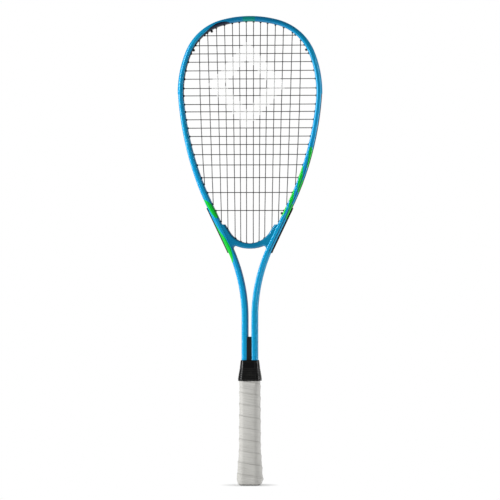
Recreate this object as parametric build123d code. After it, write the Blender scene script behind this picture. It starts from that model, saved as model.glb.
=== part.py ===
from build123d import *
import os
from math import ceil, cos, degrees, radians, sin, tan

# Squash racket, standing on its butt with the head up. Millimetres.
# +Z runs along the racket. The string bed lies in the XZ plane and its front faces -Y.
# The origin is the centre of the butt's flat end.

# ---- driving dimensions -------------------------------------------------------------

LENGTH = 685.0

# Frame tube. An outline is (radius, angle) for each tangent arc, from the crown down.
OUTER_ARCS = [(158, 15.5), (78, 52.5), (158, 27.5), (470, 11), (425, 9)]
OUTER_SHAFT_RADIUS = 237.0
INNER_ARCS = [(151, 15.5), (71, 52.5), (149, 28), (459, 9), (433, 10.5)]
INNER_SHAFT_RADIUS = 249.0
CROWN_THICKNESS = 7.2
SHAFT_HALF_WIDTH = 11.7
SHAFT_HALF_GAP = 2.75
SHAFT_FOOT = 8.0
TUBE_DEPTH = 17.5
TUBE_ROUNDING = 3.4
TUBE_WALL = 1.0

# String channel around the outside of the head, and the strips that line it.
GROOVE_DEPTH = 2.2
GROOVE_WIDTH = 5.5
GROOVE_FOOT = 339.0
STRIP_BASE = 0.8
STRIP_PROUD = 0.6
CHANNEL_WIDTH = 4.1
BUMPER_DEPTH = 12.4
BUMPER_FOOT = 571.0
SIDE_STRIP_DEPTH = 7.5
SIDE_FOOT_PROUD = 1.7
SIDE_FOOT_TOP = 392.0
STRIP_GAP = 1.0

# Bridge that closes the head above the throat.
BRIDGE_TOP = 353.3
BRIDGE_TOP_RADIUS = 34.8
BRIDGE_TOP_ANGLE = 57.5
BRIDGE_WING = 13.4
BRIDGE_BOTTOM = 345.2
BRIDGE_BOTTOM_RADIUS = 52.0
BRIDGE_GROOVE_ANGLE = 20.5
BRIDGE_STRIP_WIDTH = 5.1
BRIDGE_DEPTH = 15.6
BRIDGE_ROUNDING = 2.8
BRIDGE_FOOT = 340.0
BRIDGE_LAP = 4.0
THROAT_CORNER = 3.5

# Strings, from the centre outwards and from the crown down. A bow bends a main outwards.
STRING_DIAMETER = 1.25
MAIN_TOP_X = [5.3, 15.5, 25.8, 37.3, 49.3, 62.2, 74.2]
MAIN_FOOT_X = [4.9, 13.4, 21.6, 32.2, 41.9, 54.0, 66.8]
MAIN_BOW = [0, 0, 0, 0, 0, 0.2, 1.1]
THROAT_EXIT_X = [4.6, 11.6, 16.4]
CROSS_Z = [656.7, 642.2, 630.2, 618.1, 605.4, 593.3, 579.7, 568.9, 556.2, 545.5,
           533.9, 521.6, 509.5, 497.5, 482.9, 467.7, 449.1, 427.4, 401.1]
MAIN_TIE_Z = 636.0
CROSS_TOP_TIE_Z = 664.0
CROSS_FOOT_TIE_Z = 396.5
STRAIGHT_TURN = 0.002
STRING_CLEARANCE = 0.12
STAGGER = 0.75
WEAVE_HALF = 0.68
WEAVE_RADIUS = 6.0
TIP_RADIUS = 3.0
TURN_RADIUS = 1.1
RUN_STEP = 6.0
RUN_RADIUS = 30.0
KNOT_RADIUS = 1.3
KNOT_TURN = 1.24
KNOT_PITCH = 1.15
KNOT_TAIL = 0.5

# Grommet barrels and their holes.
AIM_SHARE = 0.8
BARREL_DIAMETER = 3.0
BARREL_BORE = 1.9
BARREL_STAND = 1.5
TIE_BARREL_STAND = 0.7
BRIDGE_BARREL_STAND = 0.5
HOLE_DIAMETER = 3.2
BORE_BEFORE_TIP = 2.0
BORE_PAST_TURN = 1.5

# Handle. Its section is a rounded rectangle, and (height, width) pairs give its outside
# under the tape.
SECTION_FLATNESS = 3.0
CORNER_INSET = 7.6
CAP_PROFILE = [(0, 28.5), (2.5, 32.6), (7, 35.2), (10, 35.9), (13, 35.2), (17, 33.6), (42, 30.0)]
PALLET_PROFILE = [(42, 30.0), (52, 28.5), (157, 27.2)]
PALLET_FOOT = 6.0
WRAP_THICKNESS = 1.8
WRAP_FOOT = 1.2
WRAP_TOP = 156.5
CAP_WALL = 1.4
CAP_FLOOR = 3.0
CAP_FLOOR_INSET = 2.0
STAPLE_WIRE = 0.9
STAPLE_LEG = 5.0
STAPLE_CROWN = 9.0
STAPLE_HEIGHT = 34.0
STAPLE_SURFACE = 14.0
TAPE_THICKNESS = 0.25
TAPE_FOOT = 153.0
COLLAR_OUTSIDE = [(152.4, 33.6, 30.6, 9.2), (157, 33.2, 30.2, 9.0), (165, 30.7, 27.0, 8.2),
                  (171, 28.6, 24.2, 7.4), (182.7, 25.8, 20.4, 5.6)]
COLLAR_INSIDE = [(152.4, 31.7, 28.7, 8.3), (157.5, 31.4, 28.4, 8.1), (165, 28.2, 24.5, 7.0),
                 (171, 26.2, 21.8, 5.8), (182.7, 23.6, 17.7, 3.5)]
PLUG_TOP = 216.7
PLUG_SHOULDER = 211.0
PLUG_WIDTH = 9.8
PLUG_TOP_WIDTH = 6.4
PLUG_DEPTH = 16.0
PLUG_ROUNDING = 1.2

# Cutters stand past what they cut by a margin, or reach through the whole racket.
MARGIN = 3.0
REACH = 400.0
TOLERANCE = 0.01

os.makedirs("parts", exist_ok=True)


# ---- outlines -----------------------------------------------------------------------

def left_of(heading):
    return Vector(-sin(heading), 0, cos(heading))


class Outline:
    """Right half of a symmetric outline in the XZ plane, starting on the Z axis along +X.

    A piece is (radius, angle in degrees), turning clockwise for a positive radius, or
    (None, length) for a straight. A shift moves the line to the left of its travel.
    """

    def __init__(self, top, pieces, shift=0.0):
        self.top = top
        self.pieces = pieces
        self.shift = shift
        self.count = len(pieces)
        self.starts = []
        point = Vector(0, 0, top)
        heading = 0.0
        for radius, amount in pieces:
            self.starts.append((point, heading))
            point, heading = self.travel(point, heading, radius, amount)

    def travel(self, point, heading, radius, amount):
        """Point and heading after part of a piece."""
        if radius is None:
            return point + Vector(cos(heading), 0, sin(heading)) * amount, heading
        centre = point - left_of(heading) * radius
        turned = heading - radians(amount) * (1 if radius > 0 else -1)
        return centre + left_of(turned) * radius, turned

    def shifted(self, shift):
        return Outline(self.top, self.pieces, self.shift + shift)

    def place(self, t):
        """Point and left-hand normal at t, which counts pieces from the start."""
        index = min(int(t), self.count - 1)
        radius, amount = self.pieces[index]
        point, heading = self.starts[index]
        point, heading = self.travel(point, heading, radius, amount * (t - index))
        normal = left_of(heading)
        return point + normal * self.shift, normal

    def find(self, measure, low, high):
        """The t between low and high where measure(point) changes sign."""
        starts_positive = measure(self.place(low)[0]) > 0
        for _ in range(50):
            middle = (low + high) / 2
            if (measure(self.place(middle)[0]) > 0) == starts_positive:
                low = middle
            else:
                high = middle
        return low

    def edges(self):
        corners = [self.place(index)[0] for index in range(self.count)]
        corners.append(self.place(self.count)[0])
        result = []
        for index, (radius, _) in enumerate(self.pieces):
            if radius is None:
                result.append(Edge.make_line(corners[index], corners[index + 1]))
            else:
                middle = self.place(index + 0.5)[0]
                result.append(Edge.make_three_point_arc(corners[index], middle, corners[index + 1]))
        return result


def frame_outline(top, arcs, shaft_radius, shaft_x):
    """Head arcs, a straight that brings the shaft to shaft_x, the shaft's bend and the shaft."""
    head = Outline(top, arcs)
    turned = radians(sum(angle for _, angle in arcs))
    head_x = head.place(head.count)[0].X
    straight = (shaft_x - head_x + shaft_radius * (1 - sin(turned))) / cos(turned)
    pieces = arcs + [(None, straight), (-shaft_radius, degrees(turned) - 90)]
    bend = Outline(top, pieces)
    drop = bend.place(bend.count)[0].Z - SHAFT_FOOT
    return Outline(top, pieces + [(None, drop)])


string_lift = STRING_DIAMETER / 2 + STRING_CLEARANCE
tube_top = LENGTH - STRIP_PROUD
outer = frame_outline(tube_top, OUTER_ARCS, OUTER_SHAFT_RADIUS, SHAFT_HALF_WIDTH)
inner = frame_outline(tube_top - CROWN_THICKNESS, INNER_ARCS, INNER_SHAFT_RADIUS, SHAFT_HALF_GAP)
head_line = outer.shifted(STRIP_BASE - GROOVE_DEPTH + string_lift)
bridge_top = Outline(BRIDGE_TOP, [(-BRIDGE_TOP_RADIUS, BRIDGE_TOP_ANGLE), (None, BRIDGE_WING)])
bridge_bottom = Outline(BRIDGE_BOTTOM, [(-BRIDGE_BOTTOM_RADIUS, BRIDGE_GROOVE_ANGLE)])
throat_line = bridge_bottom.shifted(GROOVE_DEPTH - STRIP_BASE - string_lift)

# Places on the frame's outlines, counted in pieces from the crown.
WIDEST = 2.8
WING_PLACE = 5.5
HEAD_FOOT = 5.9
NEARBY = 1.3


# ---- solids in the frame's plane ----------------------------------------------------

def band(outside, inside):
    """Face between two outlines, both halves, closed across each end."""
    edges = outside.edges() + inside.edges()
    edges.append(Edge.make_line(outside.edges()[-1] @ 1, inside.edges()[-1] @ 1))
    edges += [edge.mirror(Plane.YZ) for edge in edges]
    return Face(Wire(edges))


def filled(outline):
    """Face inside an outline, closed by a line between its two ends."""
    end = outline.edges()[-1] @ 1
    edges = outline.edges()
    edges += [edge.mirror(Plane.YZ) for edge in edges]
    edges.append(Edge.make_line(end, Vector(-end.X, 0, end.Z)))
    return Face(Wire(edges))


def slab(face, depth):
    """Solid of a face in the XZ plane, centred on it."""
    return extrude(face, amount=depth / 2, dir=(0, 1, 0), both=True)


def space(x_low, x_high, z_low, z_high):
    """Block that reaches through the racket's whole depth."""
    block = Box(x_high - x_low, REACH, z_high - z_low)
    return Pos((x_low + x_high) / 2, 0, (z_low + z_high) / 2) * block


def level(low, high):
    """Everything between two heights."""
    return space(-REACH / 2, REACH / 2, low, high)


def half_space(side):
    """Everything in front of the racket's middle for side -1, or behind it for side 1."""
    return Pos(0, side * REACH / 4, LENGTH / 2) * Box(REACH, REACH / 2, 2 * LENGTH)


def rounded(solid, depth, radius, lowest):
    """Round the front and back rims of a slab, above a given height."""
    rims = [edge for edge in solid.edges()
            if abs(abs(edge.center().Y) - depth / 2) < TOLERANCE and edge.center().Z > lowest]
    return fillet(rims, radius)


def rod(start, end, diameter):
    """Round bar between two points."""
    plane = Plane(origin=start, z_dir=end - start)
    return extrude(plane * Circle(diameter / 2), amount=(end - start).length)


def channel(floor, width, foot):
    """The outside of the head down to a floor, within a width."""
    return slab(band(outer.shifted(MARGIN), outer.shifted(floor)), width) & level(foot, 2 * LENGTH)


# ---- holes for the strings ----------------------------------------------------------

class Hole:
    """One string hole: tip is the barrel's inner end, turn is where the string bends outside.

    The turn lies on a string line at t, on its right half or, for side -1, on its left.
    """

    def __init__(self, tip, turn, line, t, side=1):
        self.tip = tip
        self.turn = turn
        self.line = line
        self.t = t
        self.side = side
        self.way = (turn - tip).normalized()

    def half_turned(self):
        """The same hole on the other side, turned half round about the racket's axis."""
        tip, turn = [Vector(-point.X, -point.Y, point.Z) for point in (self.tip, self.turn)]
        return Hole(tip, turn, self.line, self.t, -self.side)


def frame_hole(tip, outward, aim, stagger, near):
    """Hole from a tip to the groove, between the surface's normal and the string's aim."""
    way = (outward + aim * AIM_SHARE).normalized()
    t = head_line.find(lambda point: (point - tip).cross(way).Y, max(0, near - NEARBY),
                       near + NEARBY)
    lift = Vector(0, stagger, 0)
    return Hole(tip + lift, head_line.place(t)[0] + lift, head_line, t)


def head_hole(measure, low, high, aim, stagger, stand=BARREL_STAND):
    """Hole where the tube's inner side meets a string."""
    tips = inner.shifted(-stand)
    t = tips.find(measure, low, high)
    tip, outward = tips.place(t)
    return frame_hole(tip, outward, aim, stagger, t)


def bridge_tip(x):
    tips = bridge_top.shifted(BRIDGE_BARREL_STAND)
    return tips.place(tips.find(lambda point: point.X - x, 0, tips.count))


def throat_hole(x, exit_x):
    """Hole down through the bridge."""
    t = throat_line.find(lambda point: point.X - exit_x, 0, 1)
    lift = Vector(0, STAGGER, 0)
    return Hole(bridge_tip(x)[0] + lift, throat_line.place(t)[0] + lift, throat_line, t)


def tie_hole(z, stagger):
    """Hole straight through the tube where a string comes back in to be tied off."""
    return head_hole(lambda point: point.Z - z, 0, HEAD_FOOT, Vector(0, 0, 0), stagger,
                     TIE_BARREL_STAND)


def main_top(x):
    return head_hole(lambda point: point.X - x, 0, WIDEST, Vector(0, 0, 1), STAGGER)


def main_foot(x):
    return head_hole(lambda point: point.X - x, WIDEST, HEAD_FOOT, Vector(0, 0, -1), STAGGER)


def wing_foot(x):
    """Hole through a wing of the bridge and the tube behind it."""
    tip, inward = bridge_tip(x)
    return frame_hole(tip, -inward, Vector(0, 0, -1), STAGGER, WING_PLACE)


def cross_end(z):
    return head_hole(lambda point: point.Z - z, 0, HEAD_FOOT, Vector(1, 0, 0), -STAGGER)


BRIDGE_MAINS = len(THROAT_EXIT_X)
main_tops = [main_top(x) for x in MAIN_TOP_X]
main_feet = [throat_hole(x, exit_x) for x, exit_x in zip(MAIN_FOOT_X, THROAT_EXIT_X)]
main_feet.append(wing_foot(MAIN_FOOT_X[BRIDGE_MAINS]))
main_feet += [main_foot(x) for x in MAIN_FOOT_X[BRIDGE_MAINS + 1:]]
cross_ends = [cross_end(z) for z in CROSS_Z]
main_tie = tie_hole(MAIN_TIE_Z, STAGGER)
cross_top_tie = tie_hole(CROSS_TOP_TIE_Z, -STAGGER).half_turned()
cross_foot_tie = tie_hole(CROSS_FOOT_TIE_Z, -STAGGER)

bridge_holes = main_feet[:BRIDGE_MAINS]
bridge_holes += [hole.half_turned() for hole in bridge_holes]
frame_holes = main_tops + main_feet[BRIDGE_MAINS:] + cross_ends + [main_tie]
frame_holes += [hole.half_turned() for hole in frame_holes]
frame_holes += [cross_top_tie, cross_foot_tie]


def bore(hole, diameter):
    """Cutter along a hole, from before its tip to past its turn."""
    return rod(hole.tip - hole.way * BORE_BEFORE_TIP, hole.turn + hole.way * BORE_PAST_TURN,
               diameter)


# ---- frame --------------------------------------------------------------------------

def tube_body():
    """The tube as a solid bar, from one shaft's foot round the head to the other's."""
    body = slab(band(outer, inner), TUBE_DEPTH)
    return rounded(body, TUBE_DEPTH, TUBE_ROUNDING, SHAFT_FOOT + 1)


def frame_tube(body):
    """Hollow tube with its string channel and holes."""
    cavity_depth = TUBE_DEPTH - 2 * TUBE_WALL
    cavity = slab(band(outer.shifted(-TUBE_WALL), inner.shifted(TUBE_WALL)), cavity_depth)
    cavity = rounded(cavity, cavity_depth, TUBE_ROUNDING - TUBE_WALL, SHAFT_FOOT + 1)
    cavity -= channel(-GROOVE_DEPTH - TUBE_WALL, GROOVE_WIDTH + 2 * TUBE_WALL,
                      GROOVE_FOOT - TUBE_WALL)
    tube = body - channel(-GROOVE_DEPTH, GROOVE_WIDTH, GROOVE_FOOT) - cavity
    return tube - [bore(hole, HOLE_DIAMETER) for hole in frame_holes]


def throat_bridge(body):
    """Moulded bar between the shafts, with a wing up each side of the head."""
    wing_top = bridge_top.place(bridge_top.count)[0].Z
    below = slab(filled(inner), BRIDGE_DEPTH) & level(BRIDGE_FOOT - BRIDGE_TOP_RADIUS, wing_top)
    underside = Pos(0, 0, BRIDGE_BOTTOM + BRIDGE_BOTTOM_RADIUS) * Rot(90, 0, 0)
    void = below - underside * Cylinder(BRIDGE_BOTTOM_RADIUS, REACH)
    corners = [edge for edge in void.edges().filter_by(Axis.Y) if edge.center().Z > BRIDGE_FOOT]
    void = fillet(corners, THROAT_CORNER)
    bar = slab(filled(inner.shifted(BRIDGE_LAP)), BRIDGE_DEPTH) & level(BRIDGE_FOOT, wing_top)
    bar = bar - slab(filled(bridge_top), REACH) - void
    rims = [edge for edge in bar.edges()
            if abs(abs(edge.center().Y) - BRIDGE_DEPTH / 2) < TOLERANCE
            and on_rim(edge.center(), wing_top)]
    bar = fillet(rims, BRIDGE_ROUNDING) - body
    groove = slab(band(bridge_bottom.shifted(GROOVE_DEPTH), bridge_bottom.shifted(-MARGIN)),
                  GROOVE_WIDTH)
    holes = bridge_holes + frame_holes
    return bar - groove - [bore(hole, HOLE_DIAMETER) for hole in holes if hole.tip.Z < wing_top]


def on_rim(point, wing_top):
    """Whether a point of the bridge's outline is on its top or its underside."""
    inner_x = inner.place(inner.find(lambda p: p.Z - point.Z, WIDEST, inner.count))[0].X
    between_ends = BRIDGE_FOOT + TOLERANCE < point.Z < wing_top - TOLERANCE
    return between_ends and abs(point.X) < inner_x - BRIDGE_ROUNDING / 4


# ---- grommet strips -----------------------------------------------------------------

def barrel(hole):
    return rod(hole.tip, hole.turn - hole.way * (string_lift + STRIP_BASE / 2), BARREL_DIAMETER)


def with_barrels(strip, holes):
    """Add a strip's barrels and open their bores."""
    strip = strip + [barrel(hole) for hole in holes]
    return strip - [bore(hole, BARREL_BORE) for hole in holes]


def frame_strip(grooved_body, depth, proud, reach):
    """Strip lining a reach of the groove, with a flange on the tube either side of it."""
    strip = slab(band(outer.shifted(proud), outer.shifted(-GROOVE_DEPTH)), depth)
    return (strip & reach) - grooved_body - channel(STRIP_BASE - GROOVE_DEPTH, CHANNEL_WIDTH, 0)


def head_bumper(grooved_body):
    """Strip over the head, deep enough to take knocks."""
    strip = frame_strip(grooved_body, BUMPER_DEPTH, STRIP_PROUD, level(BUMPER_FOOT, 2 * LENGTH))
    return with_barrels(strip, [hole for hole in frame_holes if hole.turn.Z > BUMPER_FOOT])


def side_strip(grooved_body, side):
    """Narrow strip below the bumper, standing prouder along its foot."""
    ends = sorted((side * TOLERANCE, side * REACH / 2))
    foot, top = GROOVE_FOOT + STRIP_GAP / 2, BUMPER_FOOT - STRIP_GAP
    upper = space(*ends, SIDE_FOOT_TOP, top)
    lower = space(*ends, foot, SIDE_FOOT_TOP)
    strip = frame_strip(grooved_body, SIDE_STRIP_DEPTH, STRIP_PROUD, upper)
    strip += frame_strip(grooved_body, SIDE_STRIP_DEPTH, SIDE_FOOT_PROUD, lower)
    holes = [hole for hole in frame_holes if hole.turn.Z < BUMPER_FOOT and hole.turn.X * side > 0]
    return with_barrels(strip, holes)


def bridge_strip():
    """Strip lining the groove under the bridge."""
    floor = bridge_bottom.shifted(GROOVE_DEPTH)
    face = band(floor, bridge_bottom.shifted(GROOVE_DEPTH - STRIP_BASE))
    return with_barrels(slab(face, BRIDGE_STRIP_WIDTH), bridge_holes)


# ---- strings ------------------------------------------------------------------------

def main_line(column):
    """Foot hole and top hole of a main string, counted from the left."""
    half = len(MAIN_TOP_X)
    if column >= half:
        return main_feet[column - half], main_tops[column - half]
    row = half - 1 - column
    return main_feet[row].half_turned(), main_tops[row].half_turned()


def crossing(column, row):
    """Where a main string meets a cross string in the string plane, or None."""
    foot, top = main_line(column)
    end = cross_ends[row]
    if not foot.tip.Z < end.tip.Z < top.tip.Z:
        return None
    part = (end.tip.Z - foot.tip.Z) / (top.tip.Z - foot.tip.Z)
    half = len(MAIN_TOP_X)
    bow = MAIN_BOW[column - half if column >= half else half - 1 - column]
    x = foot.tip.X + (top.tip.X - foot.tip.X) * (part + bow * part * (1 - part))
    return x if abs(x) < end.tip.X else None


def weave_side(column, row):
    """Offset of the main string where it meets a cross string; the cross has the opposite."""
    return WEAVE_HALF if (column + row) % 2 == 0 else -WEAVE_HALF


def main_weave(column):
    """Bends of a main string between its foot and its top."""
    rows = [row for row in range(len(CROSS_Z)) if crossing(column, row) is not None]
    return [(Vector(crossing(column, row), weave_side(column, row), cross_ends[row].tip.Z),
             WEAVE_RADIUS) for row in reversed(rows)]


def cross_weave(row):
    """Bends of a cross string from left to right."""
    columns = [column for column in range(2 * len(MAIN_TOP_X)) if crossing(column, row) is not None]
    return [(Vector(crossing(column, row), -weave_side(column, row), cross_ends[row].tip.Z),
             WEAVE_RADIUS) for column in columns]


def outside_run(start, end):
    """Bends from one hole's turn to the next, following the frame's curve between them."""
    steps = ceil((end.turn - start.turn).length / RUN_STEP)
    bends = [(start.turn, TURN_RADIUS)]
    for step in range(1, steps):
        part = step / steps
        t = start.side * start.t + (end.side * end.t - start.side * start.t) * part
        point = start.line.place(abs(t))[0]
        y = start.turn.Y + (end.turn.Y - start.turn.Y) * part
        bends.append((Vector(point.X if t > 0 else -point.X, y, point.Z), RUN_RADIUS))
    return bends + [(end.turn, TURN_RADIUS)]


def tied_end(hole):
    """End of a string beyond its knot."""
    return hole.tip - hole.way * (KNOT_PITCH + KNOT_TURN + KNOT_TAIL)


def string_route(first_tie, spans, last_tie):
    """Bends of a whole string. A span is its entry hole, its weave and its exit hole."""
    route = [(tied_end(first_tie), 0)]
    leaving = first_tie
    for entry, weave, leave in spans:
        route += outside_run(leaving, entry)
        route += [(entry.tip, TIP_RADIUS)] + weave + [(leave.tip, TIP_RADIUS)]
        leaving = leave
    return route + outside_run(leaving, last_tie) + [(tied_end(last_tie), 0)]


def main_route():
    """Up and down the mains from left to right, joined in pairs at the top and the foot."""
    spans = []
    for column in range(2 * len(MAIN_TOP_X)):
        foot, top = main_line(column)
        weave = main_weave(column)
        goes_up = column % 2 == 1
        spans.append((foot, weave, top) if goes_up else (top, weave[::-1], foot))
    return string_route(main_tie.half_turned(), spans, main_tie)


def cross_route():
    """Across and back from the crown down, starting at the left."""
    spans = []
    for row, right in enumerate(cross_ends):
        left = right.half_turned()
        weave = cross_weave(row)
        goes_right = row % 2 == 0
        spans.append((left, weave, right) if goes_right else (right, weave[::-1], left))
    return string_route(cross_top_tie, spans, cross_foot_tie)


def rounded_path(route):
    """Straight runs joined by tangent arcs."""
    edges = []
    start = route[0][0]
    for (before, _), (corner, radius), (after, _) in zip(route, route[1:], route[2:]):
        back = (before - corner).normalized()
        ahead = (after - corner).normalized()
        half_turn = radians(180 - back.get_angle(ahead)) / 2
        if half_turn < STRAIGHT_TURN:
            continue
        reach = radius * tan(half_turn)
        middle = corner + (back + ahead).normalized() * radius * (1 / cos(half_turn) - 1)
        edges.append(Edge.make_line(start, corner + back * reach))
        start = corner + ahead * reach
        edges.append(Edge.make_three_point_arc(corner + back * reach, middle, start))
    edges.append(Edge.make_line(start, route[-1][0]))
    return Wire(edges)


def string(route):
    path = rounded_path(route)
    section = Plane(origin=path @ 0, z_dir=path % 0) * Circle(STRING_DIAMETER / 2)
    solid = sweep(section, path=path)
    print("string", round(path.length), "mm,", len(route), "bends, volume", round(solid.volume))
    return solid


def knots(holes):
    """Two tight turns around each tied end, drawn up against its barrel."""
    result = []
    for hole in holes:
        turns = [Plane(origin=hole.tip - hole.way * (KNOT_TURN / 2 + KNOT_PITCH * index),
                       z_dir=hole.way) * Torus(KNOT_RADIUS, KNOT_TURN / 2) for index in range(2)]
        result.append(turns[0] + turns[1])
    return result


# ---- handle -------------------------------------------------------------------------

def stack(tiers):
    """Solid through rounded rectangles: (height, width, depth, corner) from the foot up."""
    sections = [Pos(0, 0, z) * RectangleRounded(width, depth, corner)
                for z, width, depth, corner in tiers]
    return loft(sections, ruled=True)


def handle(profile, grow=0.0):
    """Solid of the handle's section along (height, width) pairs, wider all round by grow."""
    return stack([(z, width + 2 * grow, width - SECTION_FLATNESS + 2 * grow,
                   width / 2 - CORNER_INSET + grow) for z, width in profile])


def staple(facing):
    """Wire staple driven through the cap's skirt into a pallet, from the front or the back."""
    surface = facing * (STAPLE_SURFACE - STAPLE_WIRE / 2)
    point = surface - facing * STAPLE_LEG
    half = STAPLE_CROWN / 2
    crown = [Vector(x, surface, STAPLE_HEIGHT) for x in (-half, half)]
    legs = [rod(end, Vector(end.X, point, end.Z), STAPLE_WIRE) for end in crown]
    return rod(*crown, STAPLE_WIRE) + legs + [Pos(end) * Sphere(STAPLE_WIRE / 2) for end in crown]


def pallet_bar(body, staples):
    """Both pallets together: stepped in inside the cap, and hollow for the shafts."""
    skirt_width = CAP_PROFILE[-1][1] - 2 * CAP_WALL
    foot = handle([(PALLET_FOOT, skirt_width), (CAP_PROFILE[-1][0], skirt_width)])
    return foot + handle(PALLET_PROFILE) - body - staples


def butt_cap(staples):
    """Flared cup over the foot of the pallets, hollowed out inside its flare."""
    skirt_width = CAP_PROFILE[-1][1] - 2 * CAP_WALL
    skirt = handle([(PALLET_FOOT, skirt_width), (CAP_PROFILE[-1][0], skirt_width)])
    flare = CAP_PROFILE[3:-1]
    floor = (CAP_FLOOR, flare[0][1] - CAP_FLOOR_INSET)
    closing = ((flare[-1][0] + CAP_PROFILE[-1][0]) / 2, skirt_width + 2 * CAP_WALL)
    return handle(CAP_PROFILE) - handle([floor] + flare + [closing], -CAP_WALL) - skirt - staples


def grip_wrap():
    """Wound tape as one sleeve over the cap and the pallets."""
    profile = CAP_PROFILE + PALLET_PROFILE[1:]
    sleeve = handle(profile, WRAP_THICKNESS) - handle(profile)
    return sleeve & level(WRAP_FOOT, WRAP_TOP)


def finishing_tape():
    profile = PALLET_PROFILE[1:]
    ring = handle(profile, WRAP_THICKNESS + TAPE_THICKNESS) - handle(profile, WRAP_THICKNESS)
    return ring & level(TAPE_FOOT, WRAP_TOP)


def shaft_plug(body):
    """Filler in the gap between the shafts, standing on the pallets."""
    foot = PALLET_PROFILE[-1][0]
    half, top_half = PLUG_WIDTH / 2, PLUG_TOP_WIDTH / 2
    right = [(half, foot), (half, PLUG_SHOULDER), (top_half, PLUG_TOP)]
    corners = right + [(-x, z) for x, z in reversed(right)]
    face = Face(Wire.make_polygon([Vector(x, 0, z) for x, z in corners]))
    plug = rounded(slab(face, PLUG_DEPTH), PLUG_DEPTH, PLUG_ROUNDING, foot + MARGIN)
    return plug - body


# ---- assembly -----------------------------------------------------------------------

body = tube_body()
grooved_body = body - channel(-GROOVE_DEPTH, GROOVE_WIDTH, GROOVE_FOOT)
staples = [staple(-1), staple(1)]
bar = pallet_bar(body, staples)

parts = {
    "frame_tube": frame_tube(body),
    "throat_bridge": throat_bridge(body),
    "head_bumper": head_bumper(grooved_body),
    "left_grommet_strip": side_strip(grooved_body, -1),
    "right_grommet_strip": side_strip(grooved_body, 1),
    "bridge_grommet_strip": bridge_strip(),
    "main_string": string(main_route()),
    "cross_string": string(cross_route()),
    "main_string_knots": knots([main_tie, main_tie.half_turned()]),
    "cross_string_knots": knots([cross_top_tie, cross_foot_tie]),
    "shaft_plug": shaft_plug(body),
    "front_pallet": bar & half_space(-1),
    "back_pallet": bar & half_space(1),
    "butt_cap": butt_cap(staples),
    "butt_cap_staples": staples,
    "grip_wrap": grip_wrap(),
    "finishing_tape": finishing_tape(),
    "grip_collar": stack(COLLAR_OUTSIDE) - stack(COLLAR_INSIDE),
}
for node, shape in parts.items():
    solids = shape if isinstance(shape, list) else [shape]
    shape = solids[0] if len(solids) == 1 else Compound(children=solids)
    shape.label = node
    export_step(shape, f"parts/{node}.step")
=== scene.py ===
from math import ceil, cos, degrees, floor, pi, radians, sin, tan

import bmesh
import bpy
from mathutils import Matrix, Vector, noise


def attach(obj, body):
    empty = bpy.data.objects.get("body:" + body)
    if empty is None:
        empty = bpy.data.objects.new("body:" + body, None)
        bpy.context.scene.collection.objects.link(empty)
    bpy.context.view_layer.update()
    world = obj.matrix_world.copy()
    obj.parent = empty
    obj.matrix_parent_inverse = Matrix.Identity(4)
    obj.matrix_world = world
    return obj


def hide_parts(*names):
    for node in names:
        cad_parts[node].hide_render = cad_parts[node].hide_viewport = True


# Squash racket, standing on its butt with the head up and its front towards -Y.
# Lengths here are millimetres, as in the design, and to_mesh() turns them into metres.

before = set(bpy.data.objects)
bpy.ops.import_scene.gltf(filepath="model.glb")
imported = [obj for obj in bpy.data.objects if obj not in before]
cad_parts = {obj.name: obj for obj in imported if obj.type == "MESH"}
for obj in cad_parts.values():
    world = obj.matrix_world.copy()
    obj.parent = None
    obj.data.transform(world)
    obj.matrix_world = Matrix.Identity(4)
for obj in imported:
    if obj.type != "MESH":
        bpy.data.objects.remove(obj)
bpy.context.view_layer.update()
METRES = 0.001

# ---- driving dimensions, the same as the design's -------------------------------------

LENGTH = 685.0
OUTER_ARCS = [(158, 15.5), (78, 52.5), (158, 27.5), (470, 11), (425, 9)]
OUTER_SHAFT_RADIUS = 237.0
INNER_ARCS = [(151, 15.5), (71, 52.5), (149, 28), (459, 9), (433, 10.5)]
INNER_SHAFT_RADIUS = 249.0
CROWN_THICKNESS = 7.2
SHAFT_HALF_WIDTH = 11.7
SHAFT_HALF_GAP = 2.75
SHAFT_FOOT = 8.0
TUBE_DEPTH = 17.5
TUBE_ROUNDING = 3.4

GROOVE_DEPTH = 2.2
GROOVE_WIDTH = 5.5
GROOVE_FOOT = 339.0
STRIP_BASE = 0.8
STRIP_PROUD = 0.6
CHANNEL_WIDTH = 4.1
BUMPER_DEPTH = 12.4
BUMPER_FOOT = 571.0
SIDE_STRIP_DEPTH = 7.5
SIDE_FOOT_PROUD = 1.7
SIDE_FOOT_TOP = 392.0
STRIP_GAP = 1.0

BRIDGE_TOP = 353.3
BRIDGE_TOP_RADIUS = 34.8
BRIDGE_TOP_ANGLE = 57.5
BRIDGE_WING = 13.4
BRIDGE_BOTTOM = 345.2
BRIDGE_BOTTOM_RADIUS = 52.0
BRIDGE_GROOVE_ANGLE = 20.5

STRING_DIAMETER = 1.25
MAIN_TOP_X = [5.3, 15.5, 25.8, 37.3, 49.3, 62.2, 74.2]
MAIN_FOOT_X = [4.9, 13.4, 21.6, 32.2, 41.9, 54.0, 66.8]
MAIN_BOW = [0, 0, 0, 0, 0, 0.2, 1.1]
THROAT_EXIT_X = [4.6, 11.6, 16.4]
CROSS_Z = [656.7, 642.2, 630.2, 618.1, 605.4, 593.3, 579.7, 568.9, 556.2, 545.5,
           533.9, 521.6, 509.5, 497.5, 482.9, 467.7, 449.1, 427.4, 401.1]
MAIN_TIE_Z = 636.0
CROSS_TOP_TIE_Z = 664.0
CROSS_FOOT_TIE_Z = 396.5
STRING_CLEARANCE = 0.12
STAGGER = 0.75
WEAVE_HALF = 0.68
WEAVE_RADIUS = 6.0
TIP_RADIUS = 3.0
TURN_RADIUS = 1.1
RUN_STEP = 6.0
RUN_RADIUS = 30.0
TIED_END = 2.89

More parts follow.
